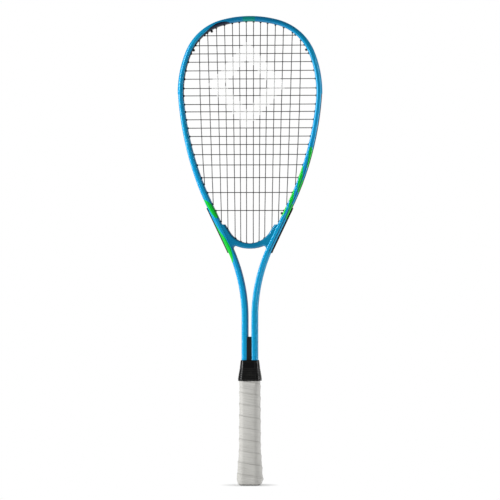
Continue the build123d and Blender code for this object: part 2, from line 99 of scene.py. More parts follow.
AIM_SHARE = 0.8
BARREL_DIAMETER = 3.0
BARREL_BORE = 1.9
BARREL_STAND = 1.5
TIE_BARREL_STAND = 0.7
BRIDGE_BARREL_STAND = 0.5

SECTION_FLATNESS = 3.0
CORNER_INSET = 7.6
CAP_PROFILE = [(0, 28.5), (2.5, 32.6), (7, 35.2), (10, 35.9), (13, 35.2), (17, 33.6), (42, 30.0)]
PALLET_PROFILE = [(42, 30.0), (52, 28.5), (157, 27.2)]
WRAP_THICKNESS = 1.8
WRAP_FOOT = 1.2
WRAP_TOP = 156.5
COLLAR_OUTSIDE = [(152.4, 33.6, 30.6, 9.2), (157, 33.2, 30.2, 9.0), (165, 30.7, 27.0, 8.2),
                  (171, 28.6, 24.2, 7.4), (182.7, 25.8, 20.4, 5.6)]
COLLAR_INSIDE = [(152.4, 31.7, 28.7, 8.3), (157.5, 31.4, 28.4, 8.1), (165, 28.2, 24.5, 7.0),
                 (171, 26.2, 21.8, 5.8), (182.7, 23.6, 17.7, 3.5)]

# ---- details that only the looks have -------------------------------------------------

STATION_STEP = 3.0
CORNER_STEPS = 6
ARC_STEP = 12.0
STRAIGHT_TURN = 0.004
STRING_STEP = 1.5
STRING_SIDES = 8
BARREL_SIDES = 14
END_INSET = 0.004
# Above their feet the side strips stand less proud than the design's, so no edge shows.
SIDE_PROUD = 0.25

RIDGE_TOP = 520.0
RIDGE_FULL = 470.0
RIDGE_PLACE = 0.5
RIDGE_WIDTH = 1.1
RIDGE_FALL = 0.9
RIDGE_ROUNDING = 2.5
INNER_FALL = 0.25
OUTER_FALL = 1.3
GROOVE_FADE = 5.0
EDGE_SOFTNESS = 0.12

# Painted bands: which side, then (height, inner edge, outer edge) down the tube. The edges
# are distances from the middle of the front, going outwards and on round the side.
BEYOND = 9.0
GREEN_BANDS = [
    [(1, [(498, 0.3, 0.4), (488, -0.6, 4), (478, 0.6, BEYOND), (466, 2.6, BEYOND), (460, 4, 4)]),
     (1, [(431, -BEYOND, -3.6), (421, -BEYOND, 0.2), (411, -2.6, 2.5), (403, 0.5, BEYOND),
          (391, 2.4, BEYOND), (387, 3.6, 4)]),
     (-1, [(417, 3.2, 4), (411.3, -1.5, 3.6), (405.2, -4.6, 3.2), (399, -BEYOND, 2.4),
           (393, -BEYOND, 1.4), (388, -BEYOND, -0.6), (383, -BEYOND, -4)])],
    [(1, [(467, -BEYOND, -3.6), (457, -BEYOND, -0.5), (447, -3.8, 2.5), (436, -1, BEYOND),
          (428, 2, BEYOND), (424, 4, 4)]),
     (1, [(405, -BEYOND, -3.6), (399, -BEYOND, -1.5), (392, -BEYOND, -1.8), (387, -BEYOND, -4)]),
     (-1, [(386, 4, BEYOND), (368, 2, BEYOND), (359, -1, BEYOND), (349, -2, BEYOND),
           (342, -2.2, BEYOND), (335, -0.8, BEYOND), (329, 0.8, BEYOND), (323, 3.4, BEYOND)])]]
# Navy print on the left tube's inner side below the crown. It is near black because it also carries
# painted shade on that inner face.
NAVY_AND_SHADE_BANDS = [
    (-1, [(681.9, -BEYOND, -3.5), (680.9, -BEYOND, -0.5), (679.4, -BEYOND, 1.3),
          (675.7, -BEYOND, 1.3), (672.3, -BEYOND, -0.2), (668.1, -BEYOND, -1.8),
          (660.7, -BEYOND, -2.6), (641, -BEYOND, -3.2), (575, -BEYOND, -3.6), (556, -BEYOND, -5)])]
# A dark line of painted shade down the right tube, on the outer side of its ridge, where that facet
# turns away from the key light.
RIDGE_SHADE_LINE = [(1, [(490, 1.3, 1.4), (465, 1.3, 2.5), (345, 1.3, 2.5), (332, 1.3, 1.4)])]
CROWN_PATCH = (-10.0, 8.6)
# Painted shade darkens the lacquer near the crown, fading out between these distances along the
# tube from it.
CROWN_SHADE_REACH = (30.0, 90.0)
FLAKE_SHARE = 0.12

# A plain open diamond of white ink across the strings.
STENCIL_CENTRE = (-4.0, 585.0)
STENCIL_HALF = (58.0, 64.0)
STENCIL_INSIDE = 0.58

WRAP_PITCH = 17.0
WRAP_GIRTH = 97.0
WRAP_PHASE = 0.35
WRAP_ROW = 0.4
WRAP_COLUMNS = 160
SEAM_STEP = 0.65
SEAM_SHARE = 0.06
OVERLAP_SHARE = 0.45
WRINKLE = 0.4
CREASE_SIZE = (38.0, 1.25)
# How dark the painted shade in the creases' hollows gets.
CREASE_SHADE = 0.5
LUMP = 0.22
LUMP_SIZE = (16.0, 8.0)
FLARE_CREASES = 1.2
FLARE_HEIGHTS = (30.0, 8.0)
WRAP_BULGE = 2.1
BULGE_FOOT = (20.0, 40.0)
BULGE_TOP = (148.0, 140.0)
ROLLED_EDGE = 0.8
DEEPEST = 1.3

COLLAR_ROW = 0.35
COLLAR_COLUMNS = 96
RIB_FOOT = 154.5
RIB_TOP = 170.0
RIB_PITCH = 3.1
RIB_DEPTH = 0.45


# ---- outlines -------------------------------------------------------------------------

def left_of(heading):
    return Vector((-sin(heading), 0, cos(heading)))


class Outline:
    """Right half of a symmetric outline in the XZ plane, starting on the Z axis along +X.

    A piece is (radius, angle in degrees), turning clockwise for a positive radius, or
    (None, length) for a straight. A shift moves the line to the left of its travel.
    """

    def __init__(self, top, pieces, shift=0.0):
        self.top = top
        self.pieces = pieces
        self.shift = shift
        self.count = len(pieces)
        self.starts = []
        point = Vector((0, 0, top))
        heading = 0.0
        for radius, amount in pieces:
            self.starts.append((point, heading))
            point, heading = self.travel(point, heading, radius, amount)

    def travel(self, point, heading, radius, amount):
        """Point and heading after part of a piece."""
        if radius is None:
            return point + Vector((cos(heading), 0, sin(heading))) * amount, heading
        centre = point - left_of(heading) * radius
        turned = heading - radians(amount) * (1 if radius > 0 else -1)
        return centre + left_of(turned) * radius, turned

    def shifted(self, shift):
        return Outline(self.top, self.pieces, self.shift + shift)

    def place(self, t):
        """Point and left-hand normal at t, which counts pieces from the start."""
        index = min(int(t), self.count - 1)
        radius, amount = self.pieces[index]
        point, heading = self.starts[index]
        point, heading = self.travel(point, heading, radius, amount * (t - index))
        normal = left_of(heading)
        return point + normal * self.shift, normal

    def find(self, measure, low, high):
        """The t between low and high where measure(point) changes sign."""
        starts_positive = measure(self.place(low)[0]) > 0
        for _ in range(40):
            middle = (low + high) / 2
            if (measure(self.place(middle)[0]) > 0) == starts_positive:
                low = middle
            else:
                high = middle
        return low

    def piece_length(self, index):
        radius, amount = self.pieces[index]
        return amount if radius is None else abs(radius) * radians(amount)

    def travelled(self, t):
        """Length of the outline from its start to t."""
        index = min(int(t), self.count - 1)
        done = sum(self.piece_length(i) for i in range(index))
        return done + self.piece_length(index) * (t - index)

    def stations(self, low, high, step):
        """Values of t from low to high, about a step apart and at each piece's ends."""
        result = [low]
        for index in range(int(low), min(ceil(high), self.count)):
            steps = max(2, ceil(self.piece_length(index) / step))
            result += [index + i / steps for i in range(1, steps + 1)]
        return [t for t in result if t < high - 0.001] + [high]


def frame_outline(top, arcs, shaft_radius, shaft_x):
    """Head arcs, a straight that brings the shaft to shaft_x, the shaft's bend and the shaft."""
    head = Outline(top, arcs)
    turned = radians(sum(angle for _, angle in arcs))
    head_x = head.place(head.count)[0].x
    straight = (shaft_x - head_x + shaft_radius * (1 - sin(turned))) / cos(turned)
    pieces = arcs + [(None, straight), (-shaft_radius, degrees(turned) - 90)]
    bend = Outline(top, pieces)
    drop = bend.place(bend.count)[0].z - SHAFT_FOOT
    return Outline(top, pieces + [(None, drop)])


string_lift = STRING_DIAMETER / 2 + STRING_CLEARANCE
tube_top = LENGTH - STRIP_PROUD
outer = frame_outline(tube_top, OUTER_ARCS, OUTER_SHAFT_RADIUS, SHAFT_HALF_WIDTH)
inner = frame_outline(tube_top - CROWN_THICKNESS, INNER_ARCS, INNER_SHAFT_RADIUS, SHAFT_HALF_GAP)
head_line = outer.shifted(STRIP_BASE - GROOVE_DEPTH + string_lift)
bridge_top = Outline(BRIDGE_TOP, [(-BRIDGE_TOP_RADIUS, BRIDGE_TOP_ANGLE), (None, BRIDGE_WING)])
bridge_bottom = Outline(BRIDGE_BOTTOM, [(-BRIDGE_BOTTOM_RADIUS, BRIDGE_GROOVE_ANGLE)])
throat_line = bridge_bottom.shifted(GROOVE_DEPTH - STRIP_BASE - string_lift)

# Places on the outlines, counted in arcs from the crown, and how far a search reaches.
WIDEST = 2.8
WING_PLACE = 5.5
HEAD_FOOT = 5.9
NEARBY = 1.3


def outer_at(height):
    """The t on the outside of the tube at a height."""
    return outer.find(lambda point: point.z - height, 0, outer.count)


def blend(value, low, high):
    """Smooth rise from 0 at low to 1 at high."""
    part = min(1.0, max(0.0, (value - low) / (high - low)))
    return part * part * (3 - 2 * part)


# ---- meshes ---------------------------------------------------------------------------

def skin(rings, capped=True):
    """Vertices and faces of closed rings joined in order, with a face over each end."""
    count = len(rings[0])
    vertices = [point for ring in rings for point in ring]
    faces = []
    for row in range(len(rings) - 1):
        for i in range(count):
            j = (i + 1) % count
            faces.append((row * count + i, row * count + j,
                          (row + 1) * count + j, (row + 1) * count + i))
    if capped:
        faces.append(tuple(reversed(range(count))))
        faces.append(tuple(range((len(rings) - 1) * count, len(rings) * count)))
    return vertices, faces


def joined(*parts):
    """One list of vertices and faces from several."""
    vertices, faces = [], []
    for part_vertices, part_faces in parts:
        start = len(vertices)
        vertices += part_vertices
        faces += [tuple(start + i for i in face) for face in part_faces]
    return vertices, faces


def to_mesh(name, shape, materials, nodes, sharp=40):
    """Show a shape as one smooth-shaded piece that rides on the racket and replaces nodes."""
    vertices, faces = shape
    mesh = bpy.data.meshes.new(name)
    mesh.from_pydata([point * METRES for point in vertices], [], faces)
    flipped = bmesh.new()
    flipped.from_mesh(mesh)
    bmesh.ops.recalc_face_normals(flipped, faces=flipped.faces)
    flipped.to_mesh(mesh)
    flipped.free()
    mesh.shade_smooth()
    mesh.set_sharp_from_angle(angle=radians(sharp))
    for material in materials:
        mesh.materials.append(material)
    piece = bpy.data.objects.new(name, mesh)
    bpy.context.scene.collection.objects.link(piece)
    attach(piece, "root")
    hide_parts(*nodes)
    return piece


def add_attribute(piece, name, kind, values):
    """Store one value, or one triple of values, for each vertex."""
    attribute = piece.data.attributes.new(name, kind, "POINT")
    if kind == "FLOAT":
        attribute.data.foreach_set("value", values)
    else:
        attribute.data.foreach_set("vector", [part for triple in values for part in triple])


def tube_along(points, radius, sides):
    """Round tube along close-set points."""
    rings = []
    tangent = (points[1] - points[0]).normalized()
    normal = tangent.orthogonal().normalized()
    for index, point in enumerate(points):
        before = points[max(index - 1, 0)]
        after = points[min(index + 1, len(points) - 1)]
        ahead = (after - before).normalized()
        normal = (normal - ahead * normal.dot(ahead)).normalized()
        across = ahead.cross(normal)
        rings.append([point + (normal * cos(2 * pi * i / sides)
                               + across * sin(2 * pi * i / sides)) * radius
                      for i in range(sides)])
    return skin(rings)


def turned_profile(start, way, profile, sides):
    """Closed surface of revolution about an axis, from (distance along, radius) pairs."""
    first = way.orthogonal().normalized()
    second = way.cross(first)
    rings = [[start + way * along + (first * cos(2 * pi * i / sides)
                                     + second * sin(2 * pi * i / sides)) * radius
              for i in range(sides)] for along, radius in profile]
    return skin(rings + rings[:1], capped=False)


def rounded_rectangle(width, depth, corner, count):
    """Points and outward normals at even distances round a rounded rectangle, from +X."""
    straight_y = depth / 2 - corner
    straight_x = width / 2 - corner
    arc = corner * pi / 2
    quarter = straight_x + straight_y + arc
    result = []
    for i in range(count):
        turn, along = divmod(4 * quarter * i / count, quarter)
        first, second = (straight_y, straight_x) if turn % 2 == 0 else (straight_x, straight_y)
        if along < first:
            point, normal = (second + corner, along), (1.0, 0.0)
        elif along < first + arc:
            angle = (along - first) / corner
            point = (second + corner * cos(angle), first + corner * sin(angle))
            normal = (cos(angle), sin(angle))
        else:
            point, normal = (second - (along - first - arc), first + corner), (0.0, 1.0)
        for _ in range(int(turn)):
            point = (-point[1], point[0])
            normal = (-normal[1], normal[0])
        result.append((Vector((point[0], point[1], 0)), Vector((normal[0], normal[1], 0))))
    return result


def between(pairs, value):
    """Straight-line reading of a list of (place, size...) rows at a place."""
    for low, high in zip(pairs, pairs[1:]):
        if value <= high[0]:
            break
    part = min(1.0, max(0.0, (value - low[0]) / (high[0] - low[0])))
    return [a + (b - a) * part for a, b in zip(low[1:], high[1:])]


# ---- string holes ---------------------------------------------------------------------

class Hole:
    """One string hole: tip is the barrel's inner end, turn is where the string bends outside."""

    def __init__(self, tip, turn, line, t, side=1):
        self.tip = tip
        self.turn = turn
        self.line = line
        self.t = t
        self.side = side
        self.way = (turn - tip).normalized()

    def half_turned(self):
        """The same hole on the other side, turned half round about the racket's axis."""
        tip, turn = [Vector((-point.x, -point.y, point.z)) for point in (self.tip, self.turn)]
        return Hole(tip, turn, self.line, self.t, -self.side)


def frame_hole(tip, outward, aim, stagger, near):
    """Hole from a tip to the groove, between the surface's normal and the string's aim."""
    way = (outward + aim * AIM_SHARE).normalized()
    t = head_line.find(lambda point: (point - tip).cross(way).y, max(0, near - NEARBY),
                       near + NEARBY)
    lift = Vector((0, stagger, 0))
    return Hole(tip + lift, head_line.place(t)[0] + lift, head_line, t)


def head_hole(measure, low, high, aim, stagger, stand=BARREL_STAND):
    """Hole where the tube's inner side meets a string."""
    tips = inner.shifted(-stand)
    t = tips.find(measure, low, high)
    tip, outward = tips.place(t)
    return frame_hole(tip, outward, aim, stagger, t)


def bridge_tip(x):
    tips = bridge_top.shifted(BRIDGE_BARREL_STAND)
    return tips.place(tips.find(lambda point: point.x - x, 0, tips.count))


def throat_hole(x, exit_x):
    """Hole down through the bridge."""
    t = throat_line.find(lambda point: point.x - exit_x, 0, 1)
    lift = Vector((0, STAGGER, 0))
    return Hole(bridge_tip(x)[0] + lift, throat_line.place(t)[0] + lift, throat_line, t)


def tie_hole(z, stagger):
    """Hole straight through the tube where a string comes back in to be tied off."""
    return head_hole(lambda point: point.z - z, 0, HEAD_FOOT, Vector((0, 0, 0)), stagger,
                     TIE_BARREL_STAND)


def main_top(x):
    return head_hole(lambda point: point.x - x, 0, WIDEST, Vector((0, 0, 1)), STAGGER)


def main_foot(x):
    return head_hole(lambda point: point.x - x, WIDEST, HEAD_FOOT, Vector((0, 0, -1)), STAGGER)


def wing_foot(x):
    """Hole through a wing of the bridge and the tube behind it."""
    tip, inward = bridge_tip(x)
    return frame_hole(tip, -inward, Vector((0, 0, -1)), STAGGER, WING_PLACE)


def cross_end(z):
    return head_hole(lambda point: point.z - z, 0, HEAD_FOOT, Vector((1, 0, 0)), -STAGGER)


BRIDGE_MAINS = len(THROAT_EXIT_X)
main_tops = [main_top(x) for x in MAIN_TOP_X]
main_feet = [throat_hole(x, exit_x) for x, exit_x in zip(MAIN_FOOT_X, THROAT_EXIT_X)]
main_feet.append(wing_foot(MAIN_FOOT_X[BRIDGE_MAINS]))
main_feet += [main_foot(x) for x in MAIN_FOOT_X[BRIDGE_MAINS + 1:]]
cross_ends = [cross_end(z) for z in CROSS_Z]
main_tie = tie_hole(MAIN_TIE_Z, STAGGER)
cross_top_tie = tie_hole(CROSS_TOP_TIE_Z, -STAGGER).half_turned()
cross_foot_tie = tie_hole(CROSS_FOOT_TIE_Z, -STAGGER)

frame_holes = main_tops + main_feet[BRIDGE_MAINS:] + cross_ends + [main_tie]
frame_holes += [hole.half_turned() for hole in frame_holes]
frame_holes += [cross_top_tie, cross_foot_tie]


# ---- string routes --------------------------------------------------------------------

def main_line(column):
    """Foot hole and top hole of a main string, counted from the left."""
    half = len(MAIN_TOP_X)
    if column >= half:
        return main_feet[column - half], main_tops[column - half]
    row = half - 1 - column
    return main_feet[row].half_turned(), main_tops[row].half_turned()


def crossing(column, row):
    """Where a main string meets a cross string in the string plane, or None."""
    foot, top = main_line(column)
    end = cross_ends[row]
    if not foot.tip.z < end.tip.z < top.tip.z:
        return None
    part = (end.tip.z - foot.tip.z) / (top.tip.z - foot.tip.z)
    half = len(MAIN_TOP_X)
    bow = MAIN_BOW[column - half if column >= half else half - 1 - column]
    x = foot.tip.x + (top.tip.x - foot.tip.x) * (part + bow * part * (1 - part))
    return x if abs(x) < end.tip.x else None


def weave_side(column, row):
    """Offset of the main string where it meets a cross string; the cross has the opposite."""
    return WEAVE_HALF if (column + row) % 2 == 0 else -WEAVE_HALF


def main_weave(column):
    """Bends of a main string between its foot and its top."""
    rows = [row for row in range(len(CROSS_Z)) if crossing(column, row) is not None]
    return [(Vector((crossing(column, row), weave_side(column, row), cross_ends[row].tip.z)),
             WEAVE_RADIUS) for row in reversed(rows)]


def cross_weave(row):
    """Bends of a cross string from left to right."""
    columns = [column for column in range(2 * len(MAIN_TOP_X)) if crossing(column, row) is not None]
    return [(Vector((crossing(column, row), -weave_side(column, row), cross_ends[row].tip.z)),
             WEAVE_RADIUS) for column in columns]


def outside_run(start, end):
    """Bends from one hole's turn to the next, following the frame's curve between them."""
    steps = ceil((end.turn - start.turn).length / RUN_STEP)
    bends = [(start.turn, TURN_RADIUS)]
    for step in range(1, steps):
        part = step / steps
        t = start.side * start.t + (end.side * end.t - start.side * start.t) * part
        point = start.line.place(abs(t))[0]
        y = start.turn.y + (end.turn.y - start.turn.y) * part
        bends.append((Vector((point.x if t > 0 else -point.x, y, point.z)), RUN_RADIUS))
    return bends + [(end.turn, TURN_RADIUS)]


def tied_end(hole):
    """End of a string beyond its knot."""
    return hole.tip - hole.way * TIED_END


def string_route(first_tie, spans, last_tie):
    """Bends of a whole string. A span is its entry hole, its weave and its exit hole."""
    route = [(tied_end(first_tie), 0)]
    leaving = first_tie
    for entry, weave, leave in spans:
        route += outside_run(leaving, entry)
        route += [(entry.tip, TIP_RADIUS)] + weave + [(leave.tip, TIP_RADIUS)]
        leaving = leave
    return route + outside_run(leaving, last_tie) + [(tied_end(last_tie), 0)]


def main_route():
    """Up and down the mains from left to right, joined in pairs at the top and the foot."""
    spans = []
    for column in range(2 * len(MAIN_TOP_X)):
        foot, top = main_line(column)
        weave = main_weave(column)
        goes_up = column % 2 == 1
        spans.append((foot, weave, top) if goes_up else (top, weave[::-1], foot))
    return string_route(main_tie.half_turned(), spans, main_tie)


def cross_route():
    """Across and back from the crown down, starting at the left."""
    spans = []
    for row, right in enumerate(cross_ends):
        left = right.half_turned()
        weave = cross_weave(row)
        goes_right = row % 2 == 0
        spans.append((left, weave, right) if goes_right else (right, weave[::-1], left))
    return string_route(cross_top_tie, spans, cross_foot_tie)


def rounded_points(route):
    """Points along straight runs joined by tangent arcs."""
    points = [route[0][0]]
    for (before, _), (corner, radius), (after, _) in zip(route, route[1:], route[2:]):
        back = (before - corner).normalized()
        ahead = (after - corner).normalized()
        turn = pi - back.angle(ahead)
        if turn < STRAIGHT_TURN:
            continue
        reach = radius * tan(turn / 2)
        centre = corner + (back + ahead).normalized() * radius / cos(turn / 2)
        start = corner + back * reach - centre
        end = corner + ahead * reach - centre
        steps = max(2, ceil(degrees(turn) / ARC_STEP))
        points += [centre + (start * sin((1 - i / steps) * turn) + end * sin(i / steps * turn))
                   / sin(turn) for i in range(steps + 1)]
    return points + [route[-1][0]]


# ---- materials ------------------------------------------------------------------------

class Finish:
    """One material's nodes, built with short calls."""

    def __init__(self, name, **values):
        self.material = bpy.data.materials.new(name)
        self.material.use_nodes = True
        self.tree = self.material.node_tree
        self.shader = self.tree.nodes["Principled BSDF"]
        for socket, value in values.items():
            label = socket.replace("_", " ").title().replace("Ior", "IOR")
            self.shader.inputs[label].default_value = value

    def set(self, socket, value):
        self.feed(self.shader.inputs[socket], value)

    def feed(self, socket, value):
        if isinstance(value, bpy.types.NodeSocket):
            self.tree.links.new(value, socket)
        else:
            socket.default_value = value

    def node(self, kind, *values, output=0, **settings):
        made = self.tree.nodes.new("ShaderNode" + kind)
        for key, value in settings.items():
            setattr(made, key, value)
        for socket, value in zip(made.inputs, values):
            if value is not None:
                self.feed(socket, value)
        return made.outputs[output]

    def math(self, operation, *values, clamp=False):
        return self.node("Math", *values, operation=operation, use_clamp=clamp)

    def place(self):
        """The point on the object, in metres."""
        return self.node("TexCoord", output=3)

    def noise(self, scale, detail=2.0, roughness=0.5):
        return self.node("TexNoise", self.place(), None, scale, detail, roughness)

    def ramp(self, value, low, high):
        """0 below low and 1 above high."""
        return self.node("MapRange", value, low, high, 0.0, 1.0)

    def mix(self, part, low, high):
        """Colour between two, by a part from 0 to 1."""
        made = self.tree.nodes.new("ShaderNodeMix")
        made.data_type = "RGBA"
        for socket, value in ((0, part), (6, low), (7, high)):
            self.feed(made.inputs[socket], value)
        return made.outputs[2]

    def tone(self, scale, detail, low, high):
        """Base colour that drifts between two."""
        self.set("Base Color", self.mix(self.noise(scale, detail), low, high))

    def rough(self, scale, low, high, detail=2.0):
        """Roughness that drifts between two."""
        drift = self.noise(scale, detail)
        self.set("Roughness", self.node("MapRange", drift, 0.3, 0.7, low, high))

    def bump(self, height, strength, distance):
        bump = self.tree.nodes.new("ShaderNodeBump")
        for socket, value in (("Height", height), ("Strength", strength), ("Distance", distance)):
            self.feed(bump.inputs[socket], value)
        self.set("Normal", bump.outputs["Normal"])

    def attribute(self, name, output):
        made = self.tree.nodes.new("ShaderNodeAttribute")
        made.attribute_name = name
        return made.outputs[output]


def colour(red, green, blue):
    return (red, green, blue, 1.0)


BLUE = colour(0.0, 0.31, 0.62)
FLAKE_BLUE = colour(0.0, 0.42, 0.74)
# Painted shade for the crown.
CROWN_SHADE_BLUE = colour(0.0, 0.19, 0.40)
# The bridge's lacquer, darker than the tube's as painted shade.
BRIDGE_SHADED_BLUE = colour(0.0, 0.23, 0.43)
BRIDGE_SHADED_DARK_BLUE = colour(0.0, 0.17, 0.34)
# Painted shade for the line beside the right ridge.
PAINTED_SHADE_BLUE = colour(0.0, 0.11, 0.25)
TEAL_BLUE = colour(0.0, 0.31, 0.56)
GREEN = colour(0.0, 0.54, 0.035)
# Navy print, darkened by painted shade.
NAVY_AND_SHADE = colour(0.0, 0.008, 0.03)
CROWN_TEAL = colour(0.0, 0.27, 0.24)


def travel_reading(side, height):
    """Signed length along the tube's outside from the crown, positive on the right."""
    return side * outer.travelled(outer_at(height))


TRAVEL_RANGE = 800.0
ACROSS_RANGE = 12.0


def reading(finish, travel, rows):
    """Straight-line graph of (travel, across) rows, read at the travel coordinate."""
    made = finish.tree.nodes.new("ShaderNodeFloatCurve")
    curve = made.mapping.curves[0]
    placed = [((s + TRAVEL_RANGE) / (2 * TRAVEL_RANGE), (a + ACROSS_RANGE) / (2 * ACROSS_RANGE))
              for s, a in rows]
    curve.points[0].location = placed[0]
    curve.points[1].location = placed[-1]
    for location in placed[1:-1]:
        curve.points.new(*location)
    for point in curve.points:
        point.handle_type = "VECTOR"
    made.mapping.update()
    finish.feed(made.inputs["Value"], finish.node("MapRange", travel, -TRAVEL_RANGE, TRAVEL_RANGE))
    return finish.node("MapRange", made.outputs[0], 0.0, 1.0, -ACROSS_RANGE, ACROSS_RANGE)


def band_mask(finish, travel, across, bands):
    """1 inside painted bands, 0 outside."""
    lows = [(-TRAVEL_RANGE, ACROSS_RANGE), (TRAVEL_RANGE, ACROSS_RANGE)]
    highs = [(-TRAVEL_RANGE, -ACROSS_RANGE), (TRAVEL_RANGE, -ACROSS_RANGE)]
    for side, rows in bands:
        placed = [(travel_reading(side, height), low, high) for height, low, high in rows]
        placed.sort()
        for end, way in ((placed[0], -0.4), (placed[-1], 0.4)):
            lows.append((end[0] + way, ACROSS_RANGE))
            highs.append((end[0] + way, -ACROSS_RANGE))
        lows += [(s, low) for s, low, _ in placed]
        highs += [(s, high) for s, _, high in placed]
    low = reading(finish, travel, sorted(lows))
    high = reading(finish, travel, sorted(highs))
    above = finish.math("DIVIDE", finish.math("SUBTRACT", across, low), EDGE_SOFTNESS, clamp=True)
    below = finish.math("DIVIDE", finish.math("SUBTRACT", high, across), EDGE_SOFTNESS, clamp=True)
    return finish.math("MULTIPLY", above, below)


def lacquered(name):
    """Glossy, slightly metallic lacquer that has yet to get its colour."""
    finish = Finish(name, metallic=0.15, coat_weight=0.4, coat_roughness=0.08,
                    specular_ior_level=0.15)
    finish.rough(140.0, 0.24, 0.36, 3.0)
    finish.bump(finish.noise(260.0), 0.05, 0.0001)
    return finish


def frame_lacquer():
    """Blue lacquer with its green and teal artwork and navy print, read from the tube's lines, and
    painted shade at the crown, beside the right ridge and in the navy on the left tube's inner
    side.
    """
    finish = lacquered("frame_lacquer")
    line = finish.node("SeparateXYZ", finish.attribute("tube_line", "Vector"))
    across = line.node.outputs["X"]
    travel = line.node.outputs["Y"]
    drift = finish.ramp(finish.noise(9.0, 1.0), 0.4, 0.62)
    base = finish.mix(drift, BLUE, TEAL_BLUE)
    flakes = finish.ramp(finish.noise(5200.0, 1.0), 0.45, 0.75)
    base = finish.mix(finish.math("MULTIPLY", flakes, FLAKE_SHARE), base, FLAKE_BLUE)
    # Painted shade: the lacquer darkens towards the crown, whose top catches little of the side
    # lights.
    away = finish.ramp(finish.math("ABSOLUTE", travel), *CROWN_SHADE_REACH)
    base = finish.mix(away, CROWN_SHADE_BLUE, base)
    crown = finish.math("MULTIPLY", finish.ramp(travel, CROWN_PATCH[0] - 2, CROWN_PATCH[0] + 2),
                        finish.ramp(travel, CROWN_PATCH[1] + 0.3, CROWN_PATCH[1]))
    base = finish.mix(crown, base, CROWN_TEAL)
    artwork = [(bands, GREEN) for bands in GREEN_BANDS]
    # Green is paint; the ridge line is painted shade, and the navy also carries painted shade on
    # the left tube's inner side.
    for bands, paint in artwork + [(RIDGE_SHADE_LINE, PAINTED_SHADE_BLUE), (NAVY_AND_SHADE_BANDS, NAVY_AND_SHADE)]:
        base = finish.mix(band_mask(finish, travel, across, bands), base, paint)
    finish.set("Base Color", base)
    return finish.material


def bridge_lacquer():
    """The same lacquer where it has no artwork, in two blues made darker than the tube's as painted
    shade on the bridge, drifting at random between them.
    """
    finish = lacquered("bridge_lacquer")
    # Painted shade: both blues are darker than the tube's lacquer, and the noise drifts between
    # them at random.
    drift = finish.ramp(finish.noise(14.0, 1.0), 0.4, 0.62)
    finish.set("Base Color", finish.mix(drift, BRIDGE_SHADED_BLUE, BRIDGE_SHADED_DARK_BLUE))
    return finish.material


def moulded(name, low, high, roughness, grain, scuff=None):
    """Moulded plastic: fine grain in the surface, a slight drift in colour, scattered scuff marks
    when given a scuff colour.
    """
    finish = Finish(name, specular_ior_level=0.2)
    base = finish.mix(finish.noise(60.0, 3.0), low, high)
    if scuff:
        marks = finish.ramp(finish.noise(420.0, 4.0, 0.7), 0.62, 0.7)
        base = finish.mix(finish.math("MULTIPLY", marks, 0.5), base, scuff)
    finish.set("Base Color", base)
    finish.rough(900.0, roughness - 0.07, roughness + 0.07)
    finish.bump(finish.noise(2600.0), grain, 0.0001)
    return finish.material


def string_finish():
    """Black coated string: smooth, with faint streaks of wear."""
    finish = Finish("string_black", coat_weight=0.3, coat_roughness=0.2)
    finish.tone(350.0, 2.0, colour(0.012, 0.012, 0.014), colour(0.03, 0.028, 0.027))
    finish.rough(800.0, 0.3, 0.45)
    finish.bump(finish.noise(3000.0, 1.0), 0.15, 0.0001)
    return finish.material


def ink_finish():
    """White ink rubbed on to the strings, thin enough in spots to show them."""
    finish = Finish("string_ink", specular_ior_level=0.3)
    thin = finish.ramp(finish.noise(900.0, 3.0), 0.3, 0.5)
    finish.set("Base Color", finish.mix(thin, colour(0.22, 0.22, 0.22), colour(0.66, 0.66, 0.65)))
    finish.rough(1500.0, 0.6, 0.8)
    return finish.material


def grip_finish():
    """Pale soft polyurethane tape: fine pebble grain, painted shade in the seams and creases, tone
    that drifts.
    """
    finish = Finish("grip_tape", specular_ior_level=0.35, sheen_weight=0.15, sheen_roughness=0.5)
    tone = finish.mix(finish.noise(45.0), colour(0.44, 0.435, 0.408), colour(0.54, 0.532, 0.508))
    # Painted shade darkens the tape in the seams and creases of the winding.
    seam_shade = finish.math("MULTIPLY", finish.attribute("seam_shade", "Fac"), 0.6)
    finish.set("Base Color", finish.mix(seam_shade, tone, colour(0.20, 0.19, 0.175)))
    finish.rough(300.0, 0.5, 0.66)
    pebbles = finish.tree.nodes.new("ShaderNodeTexVoronoi")
    finish.feed(pebbles.inputs["Vector"], finish.place())
    finish.feed(pebbles.inputs["Scale"], 1500.0)
    finish.bump(pebbles.outputs["Distance"], 0.25, 0.00015)
    return finish.material


def rubber_finish():
    """Satin black rubber with a dusty bloom."""
    finish = Finish("collar_rubber", specular_ior_level=0.24)
    bloom = finish.ramp(finish.noise(120.0, 4.0), 0.45, 0.75)
    finish.set("Base Color", finish.mix(bloom, colour(0.003, 0.003, 0.003),
                                        colour(0.008, 0.008, 0.007)))
    finish.rough(500.0, 0.16, 0.26)
    finish.bump(finish.noise(1800.0), 0.08, 0.0001)
    return finish.material


def steel_finish():
    """Bright drawn wire, streaked along its length."""
    finish = Finish("staple_steel", metallic=1.0)
    finish.tone(700.0, 2.0, colour(0.45, 0.45, 0.46), colour(0.66, 0.66, 0.66))
    finish.rough(2500.0, 0.2, 0.4)
    return finish.material


def foam_finish():
    """Moulded foam skin with small pits."""
    finish = Finish("pallet_foam", specular_ior_level=0.3)
    finish.tone(90.0, 3.0, colour(0.50, 0.44, 0.30), colour(0.62, 0.56, 0.42))
    finish.rough(400.0, 0.6, 0.8)
    finish.bump(finish.noise(900.0, 3.0), 0.4, 0.0003)
    return finish.material


